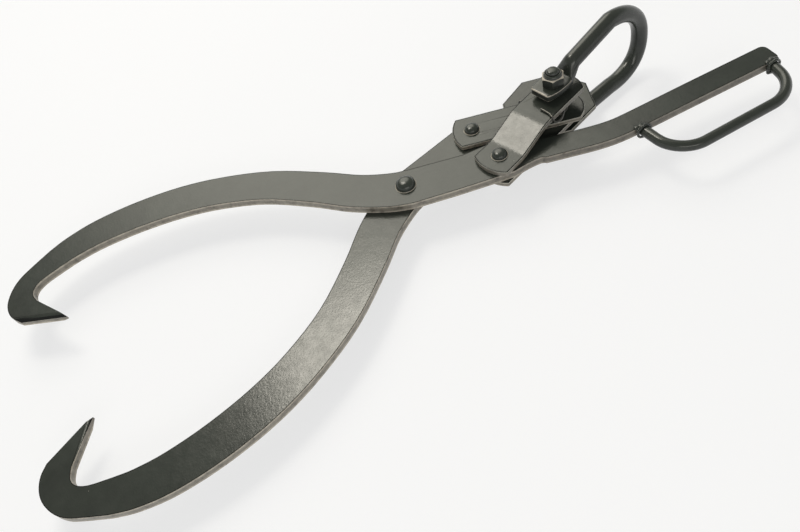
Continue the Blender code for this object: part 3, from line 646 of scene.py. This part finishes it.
class TONGS_OT_bolt(bpy.types.Operator):
    """Model the bolt, its lock nut and the insert, sleeve and washer"""

    bl_idname = "tongs.bolt"
    bl_label = "Bolt, nut and spacers"

    def execute(self, context):
        sizes = context.scene.tongs_sizes
        shank = sizes.bolt_diameter / 2 / MM
        corner = sizes.across_flats / math.sqrt(3) / MM
        low, high = bottom_of("bolt"), top_of("bolt")
        length = (high - low) / MM
        foot = Vector((BOLT.x, BOLT.y, low))
        end = [(0.0, length)] + [(shank - inset, length - drop) for inset, drop in (
            (2.6, 0.05), (1.8, 0.25), (1.1, 0.6), (0.6, 1.1), (0.2, 1.8), (0.0, 2.6))]
        profile = end + [(shank, BOLT_HEAD), (corner, BOLT_HEAD), (corner, 1.0), (corner - 1.7, 0.0)]
        profile += [(0.0, 0.0)]
        bolt = spun("through_bolt", profile, foot, 48)
        boolean(bolt, hexagon("flats", sizes.across_flats, low - 0.005, high + 0.005), "INTERSECT")
        smooth(bolt, 30)
        hand_over(bolt, "through_bolt", "link_a", "plated_steel", finish("thick enamel"), "bolt")

        low, high = bottom_of("nut"), top_of("nut")
        tall = (high - low) / MM
        bore = shank + 0.3
        shoulder = tall - sizes.collar / MM
        collar = sizes.collar_diameter / 2 / MM
        lip = sizes.lip_opening / 2 / MM
        insert_radius, pocket = 7.3, 7.6
        profile = [
            (lip, tall - 0.15), (lip + 0.25, tall), (lip + 0.7, tall), (collar - 1.0, tall - 0.35),
            (collar - 0.5, tall - 0.8), (collar - 0.15, tall - 1.5), (collar, shoulder + 0.45),
            (collar + 0.1, shoulder + 0.15), (collar + 0.5, shoulder), (corner, shoulder - 1.0),
            (corner, 0.9), (corner - 1.5, 0.0), (bore, 0.0), (bore, tall - 3.7), (pocket, tall - 3.7),
            (pocket, tall - 0.7), (lip + 0.15, tall - 0.7), (lip, tall - 0.55),
        ]
        nut = spun("lock_nut", profile, Vector((BOLT.x, BOLT.y, low)), 64, True)
        boolean(nut, hexagon("flats", sizes.across_flats, low - 0.005, high + 0.005), "INTERSECT")
        edge = nut.modifiers.new("worn_edges", "BEVEL")
        edge.width = 0.0005
        edge.segments = 2
        edge.limit_method = "ANGLE"
        edge.angle_limit = math.radians(32)
        apply_modifiers(nut)
        smooth(nut, 40)
        hand_over(nut, "lock_nut", "link_a", "plated_steel", finish("thick enamel"), "nut")
        # Painted highlights on the hexagon's corners and on its shoulder below the collar.
        nut.data.materials.append(finish("highlight rim"))
        for face in nut.data.polygons:
            reach = math.hypot(face.center.x - BOLT.x, face.center.y - BOLT.y) / MM
            turn = (math.atan2(face.normal.y, face.normal.x) - HEX_TURN) / math.radians(60)
            on_corner = abs(turn - round(turn)) > 0.3 and abs(face.normal.z) < 0.3
            on_shoulder = 0.35 < abs(face.normal.z) < 0.95 and reach > sizes.across_flats / 2 / MM - 0.8
            if reach > collar + 0.3 and (on_corner or on_shoulder):
                face.material_index = 1

        low, high = bottom_of("nut_insert"), top_of("nut_insert")
        tall = (high - low) / MM
        profile = [(bore, tall - 0.3), (bore + 0.3, tall), (insert_radius - 0.3, tall)]
        profile += [(insert_radius, tall - 0.3), (insert_radius, 0.0), (bore, 0.0)]
        insert = smooth(spun("insert", profile, Vector((BOLT.x, BOLT.y, low)), 48, True))
        hand_over(insert, "lock_insert", "link_a", "nylon", finish("insert"), "nut_insert")

        for node_name, name, radius, slot, look in (
                ("spacer_sleeve", "sleeve", 9.0, "plated_steel", "plating"),
                ("spacer_washer", "washer", 12.0, "enamel", "enamel")):
            low, high = bottom_of(node_name), top_of(node_name)
            tall = (high - low) / MM
            profile = [(bore, tall), (radius - 0.4, tall), (radius - 0.1, tall - 0.15), (radius, tall - 0.45)]
            profile += [(radius, 0.45), (radius - 0.1, 0.15), (radius - 0.4, 0.0), (bore, 0.0)]
            piece = smooth(spun(name, profile, Vector((BOLT.x, BOLT.y, low)), 48, True))
            hand_over(piece, name, "link_a", slot, finish(look), node_name)
        return {"FINISHED"}


# Lifting bow

def bow_leg(sizes, hand):
    """Stations of one leg from its eye: along, level, width, depth, roundness; hand 1 is the upper."""
    thick = sizes.eye_thickness / MM
    rod_size = sizes.bow_rod / MM
    wide = sizes.eye_width / MM
    eye = hand * sizes.eye_level / MM
    neck_level = (sizes.upper_neck if hand > 0 else -sizes.lower_neck) / MM
    crown_level = (sizes.crown_start + hand * sizes.bow_half_width) / MM
    neck, neck_end = 14.0, 27.0
    stations = [(-17.5, eye, wide * 0.66, thick - 2.0, 0.0), (-17.25, eye, wide * 0.71, thick - 0.9, 0.0)]
    stations += [(along, eye, wide * share, thick, 0.0) for along, share in (
        (-16.6, 0.765), (-14.0, 0.845), (-10.5, 0.92), (-7.0, 0.975), (-4.4, 1.0), (0.5, 1.003),
        (5.6, 1.0), (8.0, 0.98), (10.5, 0.94), (12.4, 0.9))]
    for k in range(13):
        share = k / 12
        ease = share * share * (3 - 2 * share)
        level = eye + (neck_level - eye) * ease
        width = wide * 0.86 + (rod_size - wide * 0.86) * math.sqrt(share)
        depth = thick + (rod_size - thick) * ease
        stations.append((neck + (neck_end - neck) * share, level, width, depth, ease))
    straight = (sizes.bow_reach - sizes.bow_crown) / MM
    for share in (0.25, 0.5, 0.75):
        level = neck_level + (crown_level - neck_level) * share
        stations.append((neck_end + (straight - neck_end) * share, level, rod_size, rod_size, 1.0))
    return stations


def bow_stations(sizes):
    """Stations down the bow from upper to lower eye, and the height that their levels start from."""
    rod_size = sizes.bow_rod / MM
    crown = sizes.bow_crown / MM
    straight = sizes.bow_reach / MM - crown
    start, tip, half = sizes.crown_start / MM, sizes.crown_tip / MM, sizes.bow_half_width / MM
    round_end = []
    for k in range(43):
        angle = math.pi / 2 - math.pi / 42 * k
        share = abs(math.cos(angle)) ** (2 / sizes.squareness)
        up = math.copysign(abs(math.sin(angle)) ** (2 / sizes.squareness), math.sin(angle))
        level = start + (tip - start) * share + half * up
        round_end.append((straight + crown * share, level, rod_size, rod_size, 1.0))
    middle = (top_of("link_a_top") + bottom_of("link_b_bottom") + sizes.eye_play - GAP) / 2
    return bow_leg(sizes, 1) + round_end + bow_leg(sizes, -1)[::-1], middle


def ring_places(station, before, after, middle, count):
    """Places of a section's points."""
    along, level, width, depth, ease = station
    travel = Vector((after[0] - before[0], 0.0, after[1] - before[1])).normalized()
    up = Vector((-travel.z, 0.0, travel.x))
    power = 2.0 / (2.0 + 5.0 * (1.0 - ease) ** 2)
    to_world = Matrix.Translation((BOLT.x, BOLT.y, middle)) @ Matrix.Rotation(BOW_ANGLE, 4, "Z")
    places = []
    for k in range(count):
        angle = 2 * math.pi * (k + 0.5) / count
        side = math.copysign(abs(math.cos(angle)) ** power, math.cos(angle)) * width / 2
        side += EYE_SHIFT * (1.0 - ease)
        lift = math.copysign(abs(math.sin(angle)) ** power, math.sin(angle)) * depth / 2
        places.append(to_world @ ((Vector((along, side, level)) + up * lift) * MM))
    return places


class TONGS_OT_bow(bpy.types.Operator):
    """Model the lifting bow: a ring extruded from eye to eye, then drilled for the bolt"""

    bl_idname = "tongs.bow"
    bl_label = "Lifting bow"

    def execute(self, context):
        sizes = context.scene.tongs_sizes
        stations, middle = bow_stations(sizes)
        count = 32
        deselect()
        bpy.ops.mesh.primitive_circle_add(vertices=count, radius=0.01, fill_type="NGON")
        piece = bpy.context.object
        bpy.ops.object.mode_set(mode="EDIT")
        shape = bmesh.from_edit_mesh(piece.data)
        shape.verts.ensure_lookup_table()
        ring = [vert.index for vert in shape.verts]
        for index, station in enumerate(stations):
            before = stations[max(index - 1, 0)]
            after = stations[min(index + 1, len(stations) - 1)]
            if index:
                bpy.ops.mesh.extrude_region_move()
                shape = bmesh.from_edit_mesh(piece.data)
                shape.verts.ensure_lookup_table()
                ring = [vert.index for vert in shape.verts if vert.select]
            places = ring_places(station, before, after, middle, count)
            for vert_index, place in zip(ring, places):
                shape.verts[vert_index].co = place
            bmesh.update_edit_mesh(piece.data)
        bpy.ops.mesh.select_all(action="SELECT")
        bpy.ops.mesh.normals_make_consistent(inside=False)
        bpy.ops.object.mode_set(mode="OBJECT")
        deselect()
        bpy.ops.mesh.primitive_cylinder_add(
            vertices=48, radius=sizes.bolt_diameter / 2 + GAP, depth=0.15, location=(BOLT.x, BOLT.y, middle))
        boolean(piece, settle(bpy.context.object), "DIFFERENCE")
        smooth(piece, 42)
        hand_over(piece, "bow", "bow", "enamel", finish("thick enamel"), "lifting_bow")
        # Painted highlight on the sloping rims of the flat eyes.
        piece.data.materials.append(finish("highlight rim"))
        along = Vector((math.cos(BOW_ANGLE), math.sin(BOW_ANGLE), 0.0))
        for face in piece.data.polygons:
            on_eye = (face.center - BOLT).dot(along) < EYE_RIM_END
            if on_eye and 0.3 < abs(face.normal.z) < 0.85:
                face.material_index = 1
        return {"FINISHED"}


# Grip

def bent(before, corner, after, radius, steps=12):
    """Points round a bend."""
    before, corner, after = Vector(before), Vector(corner), Vector(after)
    start = corner + (before - corner).normalized() * radius
    end = corner + (after - corner).normalized() * radius
    near, far = start.lerp(corner, 0.55), end.lerp(corner, 0.55)
    shares = [k / steps for k in range(steps + 1)]
    return [start * (1 - t) ** 3 + near * 3 * t * (1 - t) ** 2 + far * 3 * t * t * (1 - t) + end * t ** 3
            for t in shares]


def weld(node_name, name, size, lobes, lumps):
    """A laid weld round a rod: a ring drawn out into lobes, run together with lumps laid on the plate."""
    low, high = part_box(node_name)
    thick = (high.y - low.y) / 2
    reach = size / 2 + GAP + thick
    centre = Vector(((low.x + high.x) / 2, (low.y + high.y) / 2, (bottom_of("arm_a") + top_of("arm_a")) / 2))
    deselect()
    bpy.ops.mesh.primitive_torus_add(
        major_radius=reach, minor_radius=thick, major_segments=96, minor_segments=20,
        location=centre, rotation=(math.pi / 2, 0, 0))
    piece = settle(bpy.context.object)
    for vert in piece.data.vertices:
        offset = vert.co - centre
        angle = math.atan2(offset.z, offset.x)
        around = Vector((math.cos(angle), 0.0, math.sin(angle)))
        from_ring = offset - around * reach
        ripple = 0.07 * math.sin(13 * angle + 2.0 * from_ring.y / thick)
        swell = 0.82 + ripple + 0.05 * math.sin(5 * angle + 1.0)
        for middle, spread, height in lobes:
            turn = (angle - math.radians(middle) + math.pi) % (2 * math.pi) - math.pi
            swell += height * math.exp(-(turn / math.radians(spread)) ** 2)
        outward = from_ring.dot(around)
        sideways = from_ring - around * outward
        if outward > 0:
            outward *= swell
        vert.co = centre + around * (reach + outward) + sideways * min(swell, 1.12)
    blobs = [piece]
    for across, inwards, rise, wide, deep, tall in lumps:
        deselect()
        bpy.ops.mesh.primitive_uv_sphere_add(
            segments=32, ring_count=20, radius=MM, location=centre + Vector((across, inwards, rise)) * MM,
            scale=(wide, deep, tall))
        blobs.append(settle(bpy.context.object))
    pick(piece)
    for blob in blobs:
        blob.select_set(True)
    bpy.ops.object.join()
    fused = piece.modifiers.new("run_together", "REMESH")
    fused.mode = "VOXEL"
    fused.voxel_size = 0.00035
    soft = piece.modifiers.new("soft", "SMOOTH")
    soft.iterations = 3
    apply_modifiers(piece)
    smooth(piece, 80)
    return hand_over(piece, name, "handle_arm", "enamel", finish("thick enamel"), node_name)


class TONGS_OT_grip(bpy.types.Operator):
    """Model the bent grip rod and its two welds"""

    bl_idname = "tongs.grip"
    bl_label = "Grip and welds"

    def execute(self, context):
        sizes = context.scene.tongs_sizes
        low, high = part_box("grip")
        rod_size = sizes.grip_rod
        inner = (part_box("weld_bead_inner")[0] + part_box("weld_bead_inner")[1]) / 2
        outer = (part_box("weld_bead_outer")[0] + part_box("weld_bead_outer")[1]) / 2
        start = Vector((inner.x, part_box("weld_bead_inner")[1].y + 0.0002, inner.z))
        end = Vector((outer.x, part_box("weld_bead_outer")[1].y + 0.0002, outer.z))
        bottom = low.y + rod_size / 2
        first = Vector((start.x + 0.0043, bottom + 0.0004, inner.z))
        last = Vector((end.x - 0.007, bottom, inner.z))
        bend = sizes.grip_bend
        line = [start] + bent(start, first, last, bend) + bent(first, last, end, bend) + [end]
        piece = rod("grip_rod", line, rod_size, 8)
        smooth(piece, 40)
        hand_over(piece, "grip_rod", "handle_arm", "enamel", finish("thick enamel"), "grip")
        weld("weld_bead_inner", "inner_weld", rod_size, ((110, 30, 0.25), (200, 30, 0.1)), (
            (-5.2, 3.6, 4.5, 3.4, 3.0, 1.7), (-1.2, 3.2, 4.9, 3.0, 3.2, 1.9), (2.8, 2.6, 4.4, 2.6, 2.6, 1.6),
            (-6.4, 0.4, 2.6, 1.9, 2.0, 2.4)))
        weld("weld_bead_outer", "outer_weld", rod_size, ((95, 34, 0.3), (210, 26, 0.2)), (
            (-4.0, 3.4, 4.6, 3.0, 3.0, 1.8), (0.6, 4.2, 4.8, 3.2, 3.4, 1.9), (4.4, 3.0, 4.3, 2.6, 2.8, 1.7),
            (-6.0, -0.3, 1.0, 2.3, 2.2, 3.0), (-5.6, -0.6, -3.2, 2.2, 2.0, 2.2)))
        return {"FINISHED"}


# Torsion spring

class TONGS_OT_spring(bpy.types.Operator):
    """Model the torsion spring's coil and its two hooked legs"""

    bl_idname = "tongs.spring"
    bl_label = "Torsion spring"

    def execute(self, context):
        sizes = context.scene.tongs_sizes
        wire = sizes.spring_wire
        radius = sizes.spring_inner / 2 + wire / 2
        low = bottom_of("spring_coil") + wire / 2
        plate_top = top_of("link_a_top") + GAP + wire / 2
        edge = LINK_HALF_WIDTH + GAP / MM + wire / 2 / MM
        plan = on_plan(BOLT, LINK_ANGLE)
        leg = math.radians(61)
        coil = []
        for k in range(157):
            share = k / 156
            angle = -leg + 2 * math.pi * COIL_TURNS * (1 - share)
            climb = COIL_PITCH * COIL_TURNS * share
            coil.append(plan(radius / MM * math.cos(angle), radius / MM * math.sin(angle), low + climb))
        leave = coil[-1].z
        over = [
            plan(-18.0, -edge - 1.5, leave + 0.0006), plan(-27.0, -edge - 1.3, leave + 0.002),
            plan(-28.6, -edge - 0.8, leave + 0.004), plan(-28.9, -edge - 0.3, plate_top - 0.0014),
            plan(-28.6, -edge + 0.6, plate_top), plan(-27.8, -edge + 3.0, plate_top + 0.0001),
            plan(-26.4, -14.5, plate_top), plan(-25.3, -4.5, plate_top),
        ]
        main = rod("spring", coil[:-1] + spline([coil[-1]] + over, 4), wire, 5)
        smooth(main, 50)
        hand_over(main, "spring", "link_a", "spring_steel", finish("wire"), "spring_coil")

        plan = on_plan(BOLT, -LINK_ANGLE)
        low = top_of("link_b_top") + GAP + wire / 2
        half = []
        for k in range(25):
            angle = leg + math.radians(10) - math.pi * 0.85 * (1 - k / 24)
            half.append(plan(radius / MM * math.cos(angle), radius / MM * math.sin(angle), low))
        hook = [
            plan(-14.0, 15.0, low), plan(-22.0, edge - 1.0, low), plan(-28.5, edge + 0.4, low - 0.0003),
            plan(-30.5, edge + 0.5, low - 0.0016), plan(-31.2, edge + 0.2, low - 0.0045),
        ]
        tail = rod("spring_leg", half[:-1] + spline([half[-1]] + hook, 4), wire, 5)
        smooth(tail, 50)
        hand_over(tail, "spring_leg", "link_b", "spring_steel", finish("wire"), "spring_lower_leg")
        return {"FINISHED"}


# Stage

def softbox(name, place, width, height, radiance, colour, target=None):
    """A rectangular lamp of a given brightness, facing straight down or aimed at a place."""
    lamp = bpy.data.lights.new(name, "AREA")
    lamp.shape = "RECTANGLE"
    lamp.size = width
    lamp.size_y = height
    lamp.energy = radiance * math.pi * width * height
    lamp.color = colour
    holder = bpy.data.objects.new(name, lamp)
    bpy.context.scene.collection.objects.link(holder)
    holder.location = place
    if target:
        holder.rotation_euler = (Vector(target) - Vector(place)).to_track_quat("-Z", "Y").to_euler()
    return holder


def floor_material(looks):
    """A pale floor with a faint mottle; its shadows are lifted where the camera or a reflection sees them."""
    material, tree, shader = new_material("pale_floor", tuple(looks.floor), 0.85)
    link = tree.links.new
    place = node(tree, "ShaderNodeTexCoord")
    mottle = noise(tree, place, 3.0)
    pale = tuple(looks.floor)
    shades = ramp(tree, mottle.outputs["Fac"], [(0.3, shade(pale, 0.99)), (0.7, pale)])
    link(shades.outputs["Color"], shader.inputs["Base Color"])
    lit = node(tree, "ShaderNodeEmission", Strength=1.0)
    seen = node(tree, "ShaderNodeLightPath")
    either = maths(tree, "MAXIMUM", seen.outputs["Is Camera Ray"], seen.outputs["Is Glossy Ray"])
    any_seen = maths(tree, "MAXIMUM", either, seen.outputs["Is Transmission Ray"])
    mix = node(tree, "ShaderNodeMixShader")
    link(maths(tree, "MULTIPLY", any_seen, looks.lift), mix.inputs[0])
    link(shader.outputs["BSDF"], mix.inputs[1])
    link(lit.outputs["Emission"], mix.inputs[2])
    link(mix.outputs["Shader"], tree.nodes["Material Output"].inputs["Surface"])
    return material


def studio_world(context, looks):
    """A dim studio with a pale wall round it and a broad glow behind the tool."""
    world = bpy.data.worlds.new("studio")
    context.scene.world = world
    world.use_nodes = True
    tree = world.node_tree
    link = tree.links.new
    back = tree.nodes["Background"]
    place = node(tree, "ShaderNodeTexCoord")
    turn, rise, outer, core = [math.radians(angle) for angle in (80, 42, 27, 4)]
    toward = node(tree, "ShaderNodeVectorMath", operation="DOT_PRODUCT")
    level = math.cos(rise)
    toward.inputs[1].default_value = (math.cos(turn) * level, math.sin(turn) * level, math.sin(rise))
    link(place.outputs["Generated"], toward.inputs[0])
    glow = node(tree, "ShaderNodeMapRange", interpolation_type="SMOOTHSTEP",
                From_Min=math.cos(outer), From_Max=math.cos(core), To_Max=looks.glow)
    link(toward.outputs["Value"], glow.inputs["Value"])
    direction = node(tree, "ShaderNodeSeparateXYZ")
    link(place.outputs["Generated"], direction.inputs["Vector"])
    wall = node(tree, "ShaderNodeMapRange", interpolation_type="SMOOTHSTEP",
                From_Min=0.12, From_Max=0.42, To_Min=looks.wall, To_Max=looks.fill)
    link(direction.outputs["Z"], wall.inputs["Value"])
    link(maths(tree, "ADD", glow.outputs["Result"], wall.outputs["Result"]), back.inputs["Strength"])
    warmth = ramp(tree, glow.outputs["Result"], [(0.0, (0.97, 0.975, 0.96)), (1.0, (1.0, 0.97, 0.86))])
    link(warmth.outputs["Color"], back.inputs["Color"])


class TONGS_OT_stage(bpy.types.Operator):
    """Add the pale floor, the soft lamps, the world and the camera"""

    bl_idname = "tongs.stage"
    bl_label = "Floor, lamps and camera"

    def execute(self, context):
        looks = context.scene.tongs_looks
        deselect()
        bpy.ops.mesh.primitive_plane_add(size=24.0, location=(0, 0, -0.0005))
        floor = bpy.context.object
        floor.name = "floor"
        floor.data.materials.append(floor_material(looks))
        studio_world(context, looks)
        softbox("main_softbox", (-0.105, 0.76, 1.4), 0.52, 0.52, looks.main, (1.0, 0.95, 0.84))
        softbox("front_softbox", (-0.3, -1.55, 0.95), 1.5, 0.5, looks.front, (1.0, 0.97, 0.91), (0, 0, 0))

        camera = bpy.data.cameras.new("camera")
        camera.lens = looks.lens
        camera.sensor_width = 36.0
        holder = bpy.data.objects.new("camera", camera)
        context.scene.collection.objects.link(holder)
        holder.location = (-0.09371928, -0.46240949, 0.51919711)
        holder.rotation_euler = (0.64482506, 0.22694226, -0.45821353)
        context.scene.camera = holder
        context.scene.view_settings.view_transform = "Standard"
        return {"FINISHED"}


# Settings and panel

def size_setting(name, description, default):
    """A size in metres."""
    return FloatProperty(
        name=name, description=description, default=default, subtype="DISTANCE", unit="LENGTH")


def colour_setting(name, description, default):
    """A colour."""
    return FloatVectorProperty(
        name=name, description=description, default=default, size=3, min=0.0, max=1.0, subtype="COLOR")


def factor_setting(name, description, default):
    """A factor from 0 to 1."""
    return FloatProperty(
        name=name, description=description, default=default, min=0.0, max=1.0, subtype="FACTOR")


def light_setting(name, description, default):
    """A strength of light."""
    return FloatProperty(name=name, description=description, default=default, min=0.0)


class TongsSizes(bpy.types.PropertyGroup):
    """Sizes of the pieces that are modelled here, in metres."""

    pivot_shank: size_setting("Pivot shank", "Diameter of the pivot rivet's shank", 0.012)
    link_shank: size_setting("Link shank", "Diameter of the link rivets' shanks", 0.009)
    bolt_diameter: size_setting("Bolt", "Diameter of the bolt", 0.012)
    across_flats: size_setting("Across flats", "Width of the hexagons across flats", 0.019)
    collar: size_setting("Nut collar", "Height of the nut's round collar", 0.003)
    collar_diameter: size_setting("Collar diameter", "Diameter of the nut's round collar", 0.0172)
    lip_opening: size_setting("Lip opening", "Opening of the collar's lip over the insert", 0.013)
    bow_rod: size_setting("Bow rod", "Diameter of the bow's round part", 0.016)
    eye_thickness: size_setting("Eye thickness", "Thickness of the bow's flat eyes", 0.007)
    eye_width: size_setting("Eye width", "Width of the bow's flat eyes", 0.028)
    eye_level: size_setting("Eye level", "Height of an eye's middle from the middle of both", 0.0253)
    eye_play: size_setting("Eye play", "Play under the upper eye", 0.0044)
    upper_neck: size_setting("Upper neck", "Height where the upper leg turns round", 0.0363)
    lower_neck: size_setting("Lower neck", "Depth where the lower leg turns round", 0.0304)
    crown_start: size_setting("Crown start", "Height of the bow's middle where the crown starts", 0.0088)
    crown_tip: size_setting("Crown tip", "Height of the bow's middle at the crown's tip", 0.0031)
    bow_half_width: size_setting("Half width", "Half the distance between the legs' middle lines", 0.039)
    bow_reach: size_setting("Bow reach", "Bolt to the middle of the bow's crown", 0.1215)
    bow_crown: size_setting("Bow crown", "Length of the bow's round end", 0.0447)
    squareness: FloatProperty(name="Squareness", description="2 is an ellipse, more is squarer",
                              default=2.26, min=1.5, max=4.0)
    grip_rod: size_setting("Grip rod", "Diameter of the grip rod", 0.010)
    grip_bend: size_setting("Grip bend", "Length that each grip bend takes of its legs", 0.027)
    spring_wire: size_setting("Spring wire", "Diameter of the spring wire", 0.002)
    spring_inner: size_setting("Spring bore", "Inner diameter of the spring's coil", 0.020)


class TongsLooks(bpy.types.PropertyGroup):
    """Colours, gloss and light."""

    enamel: colour_setting("Enamel", "Colour of the enamel on flat faces", (0.038, 0.044, 0.037))
    cut_edge: colour_setting("Cut edge", "Colour of the thin enamel on cut edges", (0.26, 0.238, 0.2))
    plating: colour_setting("Plating", "Colour of the dull plating", (0.34, 0.33, 0.3))
    wire: colour_setting("Wire", "Colour of the spring wire", (0.14, 0.137, 0.125))
    floor: colour_setting("Floor", "Colour of the floor", (0.95, 0.965, 1.0))
    lift: factor_setting("Shadow lift", "How far the floor's shadows are lifted towards white", 0.68)
    peel: factor_setting("Orange peel", "Strength of the enamel's orange peel", 0.45)
    gloss: factor_setting("Roughness", "Roughness of the enamel", 0.19)
    fill: light_setting("Fill", "Strength of the studio's even light", 0.25)
    wall: light_setting("Wall", "Strength of the pale wall round the studio", 0.85)
    glow: light_setting("Glow", "Strength of the broad glow behind", 3.1)
    main: light_setting("Main softbox", "Brightness of the softbox above and behind", 10.5)
    front: light_setting("Front softbox", "Brightness of the softbox in front", 2.6)
    lens: FloatProperty(
        name="Lens", description="Focal length for a 36 mm sensor", default=32.5324, unit="CAMERA")


class TONGS_PT_panel(bpy.types.Panel):
    """Sidebar panel of the tongs"""

    bl_label = "Lifting tongs"
    bl_idname = "TONGS_PT_panel"
    bl_space_type = "VIEW_3D"
    bl_region_type = "UI"
    bl_category = "Tongs"

    def draw(self, context):
        for group in (context.scene.tongs_sizes, context.scene.tongs_looks):
            box = self.layout.box()
            for name in group.__annotations__:
                box.prop(group, name)
        for operator in OPERATORS:
            self.layout.operator(operator.bl_idname)


OPERATORS = (
    TONGS_OT_arms, TONGS_OT_links, TONGS_OT_rivets, TONGS_OT_bolt, TONGS_OT_bow, TONGS_OT_grip,
    TONGS_OT_spring, TONGS_OT_stage,
)
CLASSES = (TongsSizes, TongsLooks) + OPERATORS + (TONGS_PT_panel,)


def register():
    """Register the classes and their settings."""
    for cls in CLASSES:
        bpy.utils.register_class(cls)
    bpy.types.Scene.tongs_sizes = PointerProperty(type=TongsSizes)
    bpy.types.Scene.tongs_looks = PointerProperty(type=TongsLooks)


def unregister():
    """Remove the settings and classes."""
    del bpy.types.Scene.tongs_looks
    del bpy.types.Scene.tongs_sizes
    for cls in reversed(CLASSES):
        bpy.utils.unregister_class(cls)


def main():
    """Model everything in order."""
    register()
    bpy.ops.tongs.stage()
    bpy.ops.tongs.arms()
    bpy.ops.tongs.links()
    bpy.ops.tongs.rivets()
    bpy.ops.tongs.bolt()
    bpy.ops.tongs.bow()
    bpy.ops.tongs.grip()
    bpy.ops.tongs.spring()
    deselect()
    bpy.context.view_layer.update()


if __name__ == "__main__":
    main()
